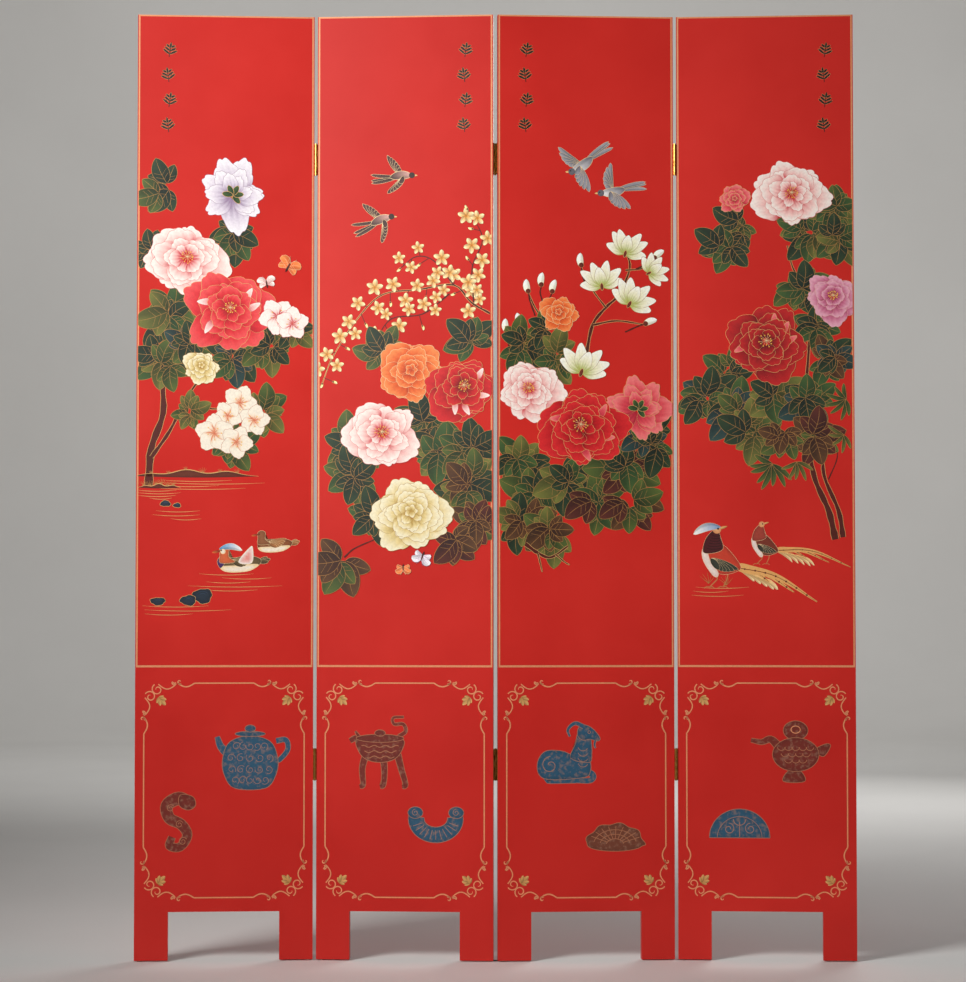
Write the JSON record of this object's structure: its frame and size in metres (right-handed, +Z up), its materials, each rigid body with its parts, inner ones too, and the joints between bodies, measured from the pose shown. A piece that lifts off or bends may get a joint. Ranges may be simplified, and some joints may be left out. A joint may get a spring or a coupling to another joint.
{
  "type": "folding room divider screen",
  "caption": "Free-standing folding screen of hinged red lacquer panels with raised flower and bird decoration, standing in a zigzag on notched feet.",
  "frame": {"origin": "on the floor under the middle of the screen, at the centre of its bounding box", "axes": "+Z up, +X along the screen to the viewer's right, -Y towards the viewer who faces the painted side"},
  "size_m": [1.621, 0.0498, 2.134],
  "materials": {
    "red_lacquer": "red gloss lacquer",
    "frame_wood": "red lacquer on the edges",
    "core_wood": "bare blockboard",
    "hinge_brass": "satin",
    "screw_brass": "satin",
    "glide_plastic": "matt"
  },
  "bodies": {
    "panel_1": {"panel_1_stile_left": "frame_wood", "panel_1_stile_right": "frame_wood", "panel_1_top_rail": "frame_wood", "panel_1_bottom_rail": "frame_wood", "panel_1_core": "core_wood", "panel_1_front_board": "red_lacquer", "panel_1_back_board": "red_lacquer", "panel_1_glides": "glide_plastic", "panel_1_hinge_screws": "screw_brass", "hinge_1_2_lower_left_leaf": "hinge_brass", "hinge_1_2_lower_pin": "hinge_brass", "hinge_1_2_upper_left_leaf": "hinge_brass", "hinge_1_2_upper_pin": "hinge_brass"},
    "panel_2": {"panel_2_stile_left": "frame_wood", "panel_2_stile_right": "frame_wood", "panel_2_top_rail": "frame_wood", "panel_2_bottom_rail": "frame_wood", "panel_2_core": "core_wood", "panel_2_front_board": "red_lacquer", "panel_2_back_board": "red_lacquer", "panel_2_glides": "glide_plastic", "panel_2_hinge_screws": "screw_brass", "hinge_1_2_lower_right_leaf": "hinge_brass", "hinge_1_2_upper_right_leaf": "hinge_brass", "hinge_2_3_lower_left_leaf": "hinge_brass", "hinge_2_3_lower_pin": "hinge_brass", "hinge_2_3_upper_left_leaf": "hinge_brass", "hinge_2_3_upper_pin": "hinge_brass"},
    "panel_3": {"panel_3_stile_left": "frame_wood", "panel_3_stile_right": "frame_wood", "panel_3_top_rail": "frame_wood", "panel_3_bottom_rail": "frame_wood", "panel_3_core": "core_wood", "panel_3_front_board": "red_lacquer", "panel_3_back_board": "red_lacquer", "panel_3_glides": "glide_plastic", "panel_3_hinge_screws": "screw_brass", "hinge_2_3_lower_right_leaf": "hinge_brass", "hinge_2_3_upper_right_leaf": "hinge_brass", "hinge_3_4_lower_left_leaf": "hinge_brass", "hinge_3_4_lower_pin": "hinge_brass", "hinge_3_4_upper_left_leaf": "hinge_brass", "hinge_3_4_upper_pin": "hinge_brass"},
    "panel_4": {"panel_4_stile_left": "frame_wood", "panel_4_stile_right": "frame_wood", "panel_4_top_rail": "frame_wood", "panel_4_bottom_rail": "frame_wood", "panel_4_core": "core_wood", "panel_4_front_board": "red_lacquer", "panel_4_back_board": "red_lacquer", "panel_4_glides": "glide_plastic", "panel_4_hinge_screws": "screw_brass", "hinge_3_4_lower_right_leaf": "hinge_brass", "hinge_3_4_upper_right_leaf": "hinge_brass"}
  },
  "joints": [
    {"name": "fold_1_2", "type": "hinge", "parent": "panel_2", "child": "panel_1", "pos_m": [-0.40715, 0.0017, 0.439], "axis": [0, 0, 1], "range_deg": [-8, 172]},
    {"name": "fold_2_3", "type": "hinge", "parent": "panel_2", "child": "panel_3", "pos_m": [0, -0.0017, 0.439], "axis": [0, 0, 1], "range_deg": [-8, 172]},
    {"name": "fold_3_4", "type": "hinge", "parent": "panel_3", "child": "panel_4", "pos_m": [0.40715, 0.0017, 0.439], "axis": [0, 0, -1], "range_deg": [-8, 172]}
  ]
}
